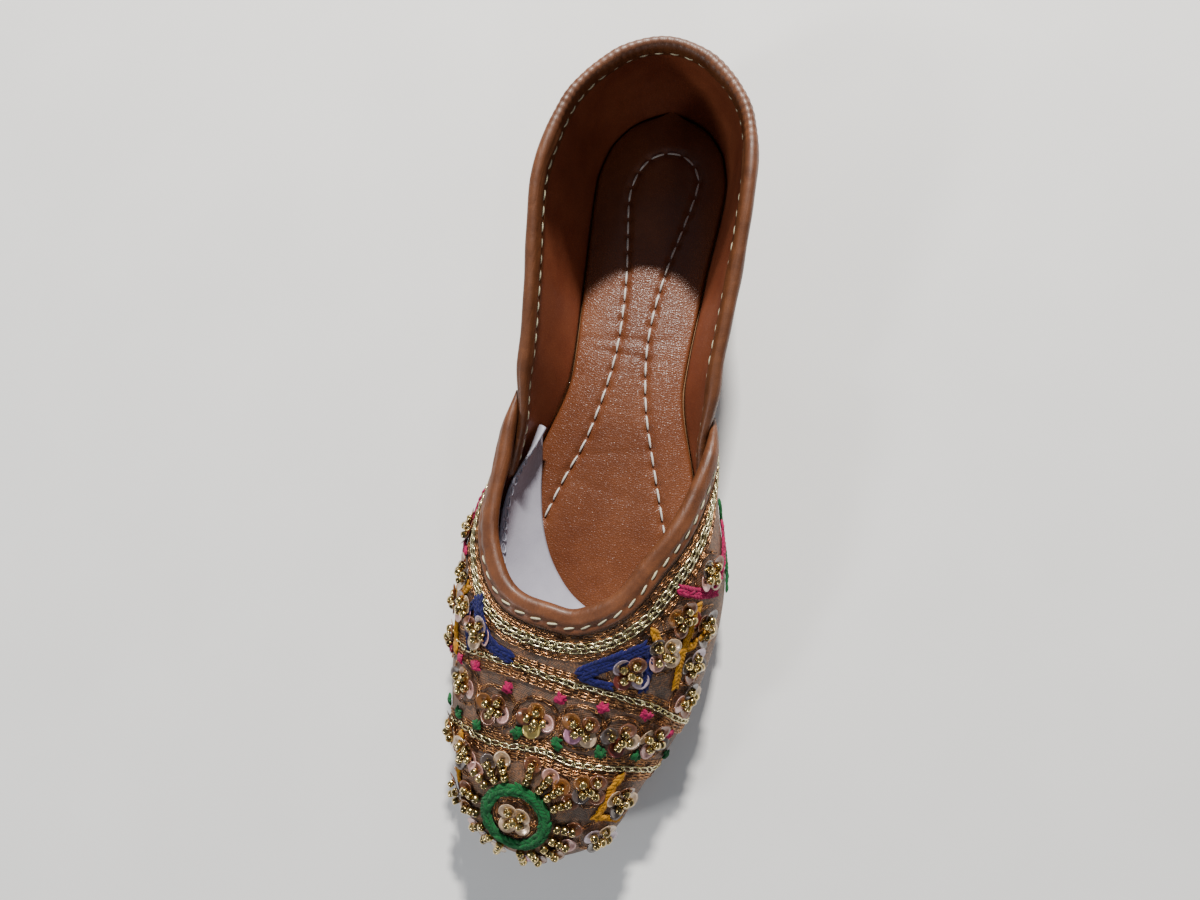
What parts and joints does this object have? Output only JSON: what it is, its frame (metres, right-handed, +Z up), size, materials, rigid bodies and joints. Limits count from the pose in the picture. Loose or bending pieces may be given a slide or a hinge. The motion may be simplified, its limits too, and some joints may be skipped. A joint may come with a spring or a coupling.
{
  "type": "mojari shoe",
  "caption": "Flat slip-on mojari with a leather quarter, a deep throat, an embroidered and beaded vamp, a padded sock and a thin leather sole.",
  "frame": {"origin": "middle of the shoe's box, on the floor under the sole", "axes": "+Z up, the toe points along -Y, +X is the wearer's outer side"},
  "size_m": [0.0834, 0.2494, 0.0519],
  "materials": {
    "sole_leather": "undyed sole leather, matt, with a burnished edge",
    "sock_leather": "glossy pebbled brown leather over a thin pad",
    "upper": "tan leather quarter, and a copper metallic cloth vamp covered in thread and bead embroidery",
    "binding": "smooth satin tan leather, turned over the edge and sewn down",
    "wool": "fuzzy green wool couched down",
    "beadwork": "antique gold beads over pale sequins"
  },
  "bodies": {
    "root": {"outsole": "sole_leather", "insole": "sock_leather", "upper": "upper", "quarter_binding": "binding", "vamp_binding": "binding", "toe_ring": "wool", "flower_1": "beadwork", "flower_2": "beadwork", "flower_3": "beadwork", "flower_4": "beadwork", "flower_5": "beadwork", "flower_6": "beadwork", "flower_7": "beadwork", "flower_8": "beadwork", "flower_9": "beadwork", "flower_10": "beadwork", "flower_11": "beadwork", "flower_12": "beadwork", "flower_13": "beadwork", "flower_14": "beadwork", "flower_15": "beadwork", "flower_16": "beadwork", "flower_17": "beadwork", "flower_18": "beadwork", "flower_19": "beadwork", "flower_20": "beadwork", "flower_21": "beadwork", "flower_22": "beadwork", "flower_23": "beadwork", "flower_24": "beadwork", "flower_25": "beadwork", "flower_26": "beadwork"}
  },
  "joints": []
}
